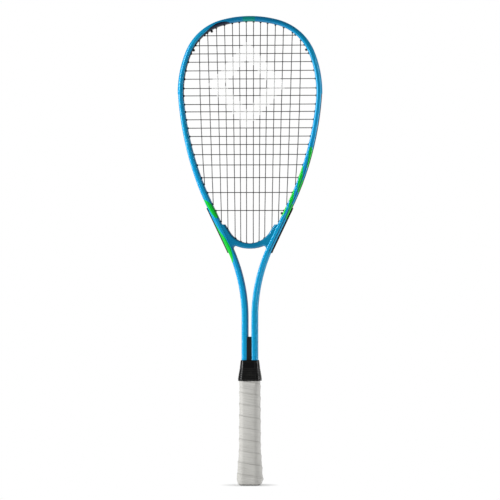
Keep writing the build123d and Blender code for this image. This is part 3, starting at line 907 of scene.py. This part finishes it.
lacquer = frame_lacquer()
plain_lacquer = bridge_lacquer()
bumper_nylon = moulded("bumper_nylon", colour(0.0, 0.28, 0.52), colour(0.0, 0.33, 0.58), 0.36, 0.12,
                       scuff=colour(0.10, 0.40, 0.66))
strip_nylon = moulded("strip_nylon", colour(0.004, 0.004, 0.005), colour(0.009, 0.009, 0.010),
                      0.42, 0.2)
plug_plastic = moulded("plug_plastic", colour(0.004, 0.004, 0.004), colour(0.009, 0.009, 0.009),
                       0.45, 0.25)
cap_plastic = moulded("cap_plastic", colour(0.022, 0.022, 0.023), colour(0.034, 0.034, 0.034),
                      0.5, 0.4)
film_plastic = moulded("tape_film", colour(0.66, 0.66, 0.64), colour(0.75, 0.75, 0.73), 0.25, 0.08)
string_black = string_finish()
string_ink = ink_finish()
grip_tape = grip_finish()
collar_rubber = rubber_finish()
staple_steel = steel_finish()
pallet_foam = foam_finish()


# ---- frame tube -----------------------------------------------------------------------

def corner_arc(centre, radius, start, end):
    """Points round a corner of a section, from one angle to another, in degrees."""
    return [(centre[0] + radius * cos(radians(start + (end - start) * i / CORNER_STEPS)),
             centre[1] + radius * sin(radians(start + (end - start) * i / CORNER_STEPS)))
            for i in range(CORNER_STEPS + 1)]


def tube_section(width, ridge, groove):
    """Half section of the tube, from the middle of its outer side round the front to the
    middle of its inner side: (outwards, forwards) from the section's centre."""
    half = width / 2
    front = TUBE_DEPTH / 2
    rounding = TUBE_ROUNDING + (RIDGE_ROUNDING - TUBE_ROUNDING) * ridge
    floor_at = half - GROOVE_DEPTH * groove
    lip = GROOVE_WIDTH / 2
    points = [(floor_at, 0.0), (floor_at, lip - 0.15), (half - 0.1 * groove, lip),
              (half, lip + 0.15)]
    outer_front = front - OUTER_FALL * ridge
    points += corner_arc((half - rounding, outer_front - rounding), rounding, 0, 90)
    crest = RIDGE_PLACE * ridge
    step = max(0.02, min(RIDGE_WIDTH, half - rounding - crest - 0.02))
    points.append((crest + step, front - RIDGE_FALL * ridge))
    points.append((crest, front))
    points.append((crest - 0.3, front - 0.01 * ridge))
    inner_front = front - INNER_FALL * ridge
    points += corner_arc((rounding - half, inner_front - rounding), rounding, 90, 180)
    return points + [(-half, 0.0)]


def frame_tube():
    """The whole tube, from one shaft's foot round the head to the other's."""
    rings, lines = [], []
    right = outer.stations(0, outer.count, STATION_STEP)
    for side, t in [(1, t) for t in reversed(right)] + [(-1, t) for t in right[1:]]:
        point, normal = outer.place(t)
        t_in = inner.find(lambda p: (p - point).cross(normal).y, max(0, t - NEARBY),
                          min(inner.count, t + NEARBY)) if t > 0 else 0
        facing = inner.place(t_in)[0]
        centre = (point + facing) / 2
        width = (point - facing).length
        outwards = (point - facing).normalized()
        ridge = blend(point.z, RIDGE_TOP, RIDGE_FULL)
        groove = blend(point.z, GROOVE_FOOT, GROOVE_FOOT + GROOVE_FADE)
        half = tube_section(width, ridge, groove)
        loop = [(a, -y) for a, y in half] + [(a, y) for a, y in half[-2:0:-1]]
        travel = side * outer.travelled(t)
        ring = []
        for a, y in loop:
            place = centre + outwards * a
            ring.append(Vector((side * place.x, y, place.z)))
            wrap = max(0.0, TUBE_DEPTH / 2 - TUBE_ROUNDING - abs(y))
            lines.append((a + (wrap if a > 0 else -wrap), travel, y))
        rings.append(ring)
    piece = to_mesh("frame_tube_lacquered", skin(rings), [lacquer],
                    ["frame_tube"], 30)
    add_attribute(piece, "tube_line", "FLOAT_VECTOR", lines)


# ---- bumper and grommet strips --------------------------------------------------------

def strip_section(depth, proud):
    """Section of a strip from its front edge to its back edge: (outwards, forwards)."""
    edge = depth / 2
    lip = CHANNEL_WIDTH / 2
    floor_at = STRIP_BASE - GROOVE_DEPTH
    half = [(-0.25, edge), (proud - 0.48, edge), (proud - 0.18, edge - 0.18),
            (proud, edge - 0.55), (proud, lip + 0.4), (proud - 0.12, lip + 0.1), (proud - 0.4, lip),
            (floor_at + 0.3, lip), (floor_at + 0.05, lip - 0.12), (floor_at, lip - 0.4)]
    under = [(-GROOVE_DEPTH, lip), (-GROOVE_DEPTH, lip + 0.5), (-0.3, lip + 0.6)]
    return ([(a, -y) for a, y in half] + [(a, y) for a, y in reversed(half)]
            + [(a, y) for a, y in reversed(under)] + [(a, -y) for a, y in under])


def strip_run(places, depth, proud):
    """A strip along (side, t) places on the tube's outside, thinned at its ends."""
    rings = []
    section = strip_section(depth, proud)
    for index, (side, t) in enumerate(places):
        point, normal = outer.place(t)
        end = index in (0, len(places) - 1)
        ring = []
        for a, y in section:
            place = point + normal * (min(a, proud - 0.35) if end else a)
            ring.append(Vector((side * place.x, y, place.z)))
        rings.append(ring)
    return skin(rings)


def barrels(holes):
    """Short tubes that carry the strings through the frame, with rounded mouths."""
    radius, bore = BARREL_DIAMETER / 2, BARREL_BORE / 2
    shapes = []
    for hole in holes:
        length = (hole.turn - hole.tip).length - string_lift - STRIP_BASE / 2
        profile = [(0.35, bore), (0.1, bore + 0.12), (0.0, bore + 0.3), (0.12, radius - 0.06),
                   (0.4, radius), (length, radius), (length, bore)]
        shapes.append(turned_profile(hole.tip, hole.way, profile, BARREL_SIDES))
    return joined(*shapes)


def two_part(name, first, second, materials, nodes):
    """A piece whose first part has one material and whose second part has another."""
    piece = to_mesh(name, joined(first, second), materials, nodes, 35)
    for face in piece.data.polygons[len(first[1]):]:
        face.material_index = 1


def head_bumper():
    low = outer_at(BUMPER_FOOT)
    right = outer.stations(0, low, STATION_STEP)
    right.insert(-1, low - END_INSET)
    places = [(1, t) for t in reversed(right)] + [(-1, t) for t in right[1:]]
    holes = [hole for hole in frame_holes if hole.turn.z > BUMPER_FOOT]
    two_part("head_bumper_moulding", strip_run(places, BUMPER_DEPTH, STRIP_PROUD), barrels(holes),
             [bumper_nylon, strip_nylon], ["head_bumper"])


def side_strip(name, side):
    runs = []
    for top, foot, proud in ((BUMPER_FOOT - STRIP_GAP, SIDE_FOOT_TOP, SIDE_PROUD),
                             (SIDE_FOOT_TOP, GROOVE_FOOT + STRIP_GAP / 2, SIDE_FOOT_PROUD)):
        high, low = outer_at(top), outer_at(foot)
        stations = outer.stations(high, low, STATION_STEP)
        stations.insert(1, high + END_INSET)
        stations.insert(-1, low - END_INSET)
        runs.append(strip_run([(side, t) for t in stations], SIDE_STRIP_DEPTH, proud))
    holes = [hole for hole in frame_holes if hole.turn.z < BUMPER_FOOT and hole.turn.x * side > 0]
    shape = joined(*runs, barrels(holes))
    to_mesh(name + "_grommet_moulding", shape, [strip_nylon],
            [name + "_grommet_strip"], 35)


# ---- strings --------------------------------------------------------------------------

def inked(point):
    """Whether a point of the string bed is inside the stencil's open diamond."""
    reach = (abs(point.x - STENCIL_CENTRE[0]) / STENCIL_HALF[0]
             + abs(point.z - STENCIL_CENTRE[1]) / STENCIL_HALF[1])
    return STENCIL_INSIDE < reach < 1


def divided(points, step):
    """The same line with extra points on its long runs."""
    result = [points[0]]
    for start, end in zip(points, points[1:]):
        steps = max(1, ceil((end - start).length / step))
        result += [start + (end - start) * (i / steps) for i in range(1, steps + 1)]
    return result


def string(name, route, node):
    """A whole string, with ink where it crosses the stencil."""
    points = divided(rounded_points(route), STRING_STEP)
    shape = tube_along(points, STRING_DIAMETER / 2, STRING_SIDES)
    piece = to_mesh(name, shape, [string_black, string_ink], [node], 60)
    for index, point in enumerate(points[:-1]):
        if inked(point):
            for i in range(STRING_SIDES):
                piece.data.polygons[index * STRING_SIDES + i].material_index = 1


# ---- grip -----------------------------------------------------------------------------

def handle_size(z, grow):
    """Width, depth and corner of the handle's section at a height, wider all round by grow."""
    width = between(CAP_PROFILE + PALLET_PROFILE[1:], z)[0]
    return (width + 2 * grow, width - SECTION_FLATNESS + 2 * grow,
            width / 2 - CORNER_INSET + grow)


def wound(z, part):
    """Height of the wound tape's surface over its plain sleeve, and how much painted shade darkens
    it in a seam or crease.

    Part is the share of the way round. The tape climbs as it goes left round the handle, and
    each turn's upper edge lies over the turn above it.
    """
    climb = z / WRAP_PITCH + part + WRAP_PHASE
    turn = floor(climb)
    share = climb - turn
    along = (part - turn) * WRAP_GIRTH
    across = share * WRAP_PITCH
    rise = blend(share, 1 - OVERLAP_SHARE, 1 - SEAM_SHARE) - blend(share, 1 - SEAM_SHARE, 1)
    creases = noise.noise(Vector((along / CREASE_SIZE[0], across / CREASE_SIZE[1], 0.0)))
    lumps = noise.noise(Vector((along / LUMP_SIZE[0], across / LUMP_SIZE[1], 7.0)))
    flare = 1 + FLARE_CREASES * blend(z, *FLARE_HEIGHTS)
    # Painted shade: dark in the crevice at each seam and in the creases' hollows.
    seam_shade = blend(share, SEAM_SHARE, 0) + blend(share, 1 - SEAM_SHARE * 0.6, 1)
    seam_shade *= 0.3 + 0.7 * blend(lumps, -0.35, 0.45)
    seam_shade = min(1.0, seam_shade + CREASE_SHADE * max(0.0, -creases))
    lift = SEAM_STEP * (rise - 1) + WRINKLE * flare * (creases - 0.5) + LUMP * (lumps - 0.5)
    return max(lift, -DEEPEST), seam_shade


def grip_wrap():
    """The tape as one closed sleeve with its winding, wrinkles and rolled ends."""
    rows = ceil((WRAP_TOP - WRAP_FOOT) / WRAP_ROW)
    rings, seam_shades = [], []
    for row in range(rows + 1):
        z = WRAP_FOOT + (WRAP_TOP - WRAP_FOOT) * row / rows
        end = min(z - WRAP_FOOT, WRAP_TOP - z)
        roll = ROLLED_EDGE * (1 - blend(end, -0.4, 1.2))
        ring = []
        size = handle_size(z, WRAP_THICKNESS)
        bulge = WRAP_BULGE * blend(z, *BULGE_FOOT) * blend(z, *BULGE_TOP)
        for i, (point, normal) in enumerate(rounded_rectangle(*size, WRAP_COLUMNS)):
            lift, seam_shade = wound(z, i / WRAP_COLUMNS)
            out = bulge * (1 - (2 * point.x / size[0]) ** 2)
            crown = Vector((0, out if point.y > 0 else -out, z))
            ring.append(point + normal * (lift - roll) + crown)
            seam_shades.append(seam_shade)
        rings.append(ring)
    for z in (WRAP_TOP, WRAP_FOOT):
        rings.append([point + Vector((0, 0, z)) for point, _ in
                      rounded_rectangle(*handle_size(z, 0.02), WRAP_COLUMNS)])
        seam_shades += [0.0] * WRAP_COLUMNS
    shape = skin(rings + rings[:1], capped=False)
    merged = (shape[0][:len(seam_shades)],
              [tuple(i % len(seam_shades) for i in face) for face in shape[1]])
    piece = to_mesh("grip_tape_wound", merged, [grip_tape], ["grip_wrap"], 80)
    add_attribute(piece, "seam_shade", "FLOAT", seam_shades)


# ---- collar ---------------------------------------------------------------------------

def collar():
    """Rubber sleeve with rings round its lower half and rounded lips."""
    foot, top = COLLAR_OUTSIDE[0][0], COLLAR_OUTSIDE[-1][0]
    rows = ceil((top - foot) / COLLAR_ROW)
    sizes = []
    for row in range(rows + 1):
        z = foot + (top - foot) * row / rows
        width, depth, corner = between(COLLAR_OUTSIDE, z)
        lip = 0.6 * (1 - blend(min(z - foot, top - z), -0.3, 0.9))
        inside = blend(z, RIB_FOOT - 0.8, RIB_FOOT) * blend(z, RIB_TOP + 0.8, RIB_TOP)
        wave = (z - RIB_FOOT) / RIB_PITCH
        cut = RIB_DEPTH * inside * blend(abs(wave - round(wave)), 0.24, 0.08)
        sizes.append((z, width, depth, corner, -lip - cut))
    for z, width, depth, corner in reversed(COLLAR_INSIDE):
        sizes.append((z, width, depth, corner, 0.0))
    rings = [[point + normal * lift + Vector((0, 0, z)) for point, normal in
              rounded_rectangle(width, depth, corner, COLLAR_COLUMNS)]
             for z, width, depth, corner, lift in sizes]
    count = len(rings) * COLLAR_COLUMNS
    vertices, faces = skin(rings + rings[:1], capped=False)
    shape = (vertices[:count], [tuple(i % count for i in face) for face in faces])
    to_mesh("grip_collar_ribbed", shape, [collar_rubber], ["grip_collar"], 50)


frame_tube()
head_bumper()
side_strip("left", -1)
side_strip("right", 1)
string("main_string_woven", main_route(), "main_string")
string("cross_string_woven", cross_route(), "cross_string")
grip_wrap()
collar()

kept_finishes = {
    "throat_bridge": plain_lacquer, "bridge_grommet_strip": strip_nylon,
    "main_string_knots": string_black, "cross_string_knots": string_black,
    "shaft_plug": plug_plastic, "front_pallet": pallet_foam, "back_pallet": pallet_foam,
    "butt_cap": cap_plastic, "butt_cap_staples": staple_steel, "finishing_tape": film_plastic}
for node, material in kept_finishes.items():
    for material_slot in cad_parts[node].material_slots:
        material_slot.material = material


# ---- stage, light and camera ----------------------------------------------------------

VIEW_WIDTH = 0.7303
VIEW_CENTRE = Vector((0.0001, 0, 0.3434))
CAMERA_TURN = 7.0
CAMERA_DISTANCE = 6.0
SENSOR = 36.0
FLOOR_RADIUS = 1.4
FLOOR_FADE = (0.008, 0.045)
WORLD_LIGHT = 0.17
LIGHT_AIM = Vector((0, 0, 0.36))
# Each soft box: where it stands, its width and height, and its power.
SOFT_BOXES = {
    "key": ((-2.0, -1.15, 0.7), 0.9, 1.8, 64),
    "fill": ((1.0, -2.4, 0.5), 0.5, 1.6, 2.5),
    "rim": ((1.7, 0.25, 0.5), 0.35, 1.6, 20)}


def floor_disc():
    """Pale floor that fades into the white around it."""
    finish = Finish("pale_floor", specular_ior_level=0.1)
    finish.set("Base Color", finish.mix(finish.noise(25.0), colour(0.86, 0.86, 0.86),
                                        colour(0.9, 0.9, 0.9)))
    finish.set("Roughness", 0.9)
    glow = finish.node("Emission", colour(1, 1, 1), 1.0)
    far = finish.node("VectorMath", finish.place(), operation="LENGTH", output=1)
    fade = finish.ramp(far, *FLOOR_FADE)
    mixed = finish.node("MixShader", fade, finish.shader.outputs[0], glow)
    finish.feed(finish.tree.nodes["Material Output"].inputs["Surface"], mixed)
    disc = bmesh.new()
    bmesh.ops.create_circle(disc, cap_ends=True, segments=96, radius=FLOOR_RADIUS)
    mesh = bpy.data.meshes.new("floor")
    disc.to_mesh(mesh)
    disc.free()
    mesh.materials.append(finish.material)
    piece = bpy.data.objects.new("floor", mesh)
    bpy.context.scene.collection.objects.link(piece)


def soft_box(name, place, width, height, energy):
    """Area light that faces the middle of the racket."""
    light = bpy.data.lights.new(name, "AREA")
    light.shape = "RECTANGLE"
    light.size = width
    light.size_y = height
    light.energy = energy
    lamp = bpy.data.objects.new(name, light)
    lamp.location = place
    lamp.rotation_euler = (LIGHT_AIM - Vector(place)).to_track_quat("-Z", "Y").to_euler()
    bpy.context.scene.collection.objects.link(lamp)


def surroundings():
    """White to look at, and dimmer than that as a light."""
    world = bpy.data.worlds.new("studio")
    world.use_nodes = True
    tree = world.node_tree
    background = tree.nodes["Background"]
    background.inputs["Color"].default_value = colour(1, 1, 1)
    path = tree.nodes.new("ShaderNodeLightPath")
    strength = tree.nodes.new("ShaderNodeMapRange")
    tree.links.new(path.outputs["Is Camera Ray"], strength.inputs["Value"])
    strength.inputs["To Min"].default_value = WORLD_LIGHT
    tree.links.new(strength.outputs[0], background.inputs["Strength"])
    bpy.context.scene.world = world


def camera():
    """Long lens, level with the middle of the racket and a little to its right."""
    lens = bpy.data.cameras.new("camera")
    lens.sensor_width = SENSOR
    lens.lens = SENSOR * CAMERA_DISTANCE / VIEW_WIDTH
    lens.clip_end = 50
    viewer = bpy.data.objects.new("camera", lens)
    turn = radians(CAMERA_TURN)
    back = Vector((sin(turn), -cos(turn), 0))
    viewer.location = VIEW_CENTRE + back * CAMERA_DISTANCE
    viewer.rotation_euler = (-back).to_track_quat("-Z", "Y").to_euler()
    bpy.context.scene.collection.objects.link(viewer)
    bpy.context.scene.camera = viewer


floor_disc()
surroundings()
for box_name, box_values in SOFT_BOXES.items():
    soft_box(box_name, *box_values)
camera()
bpy.context.scene.view_settings.view_transform = "Standard"
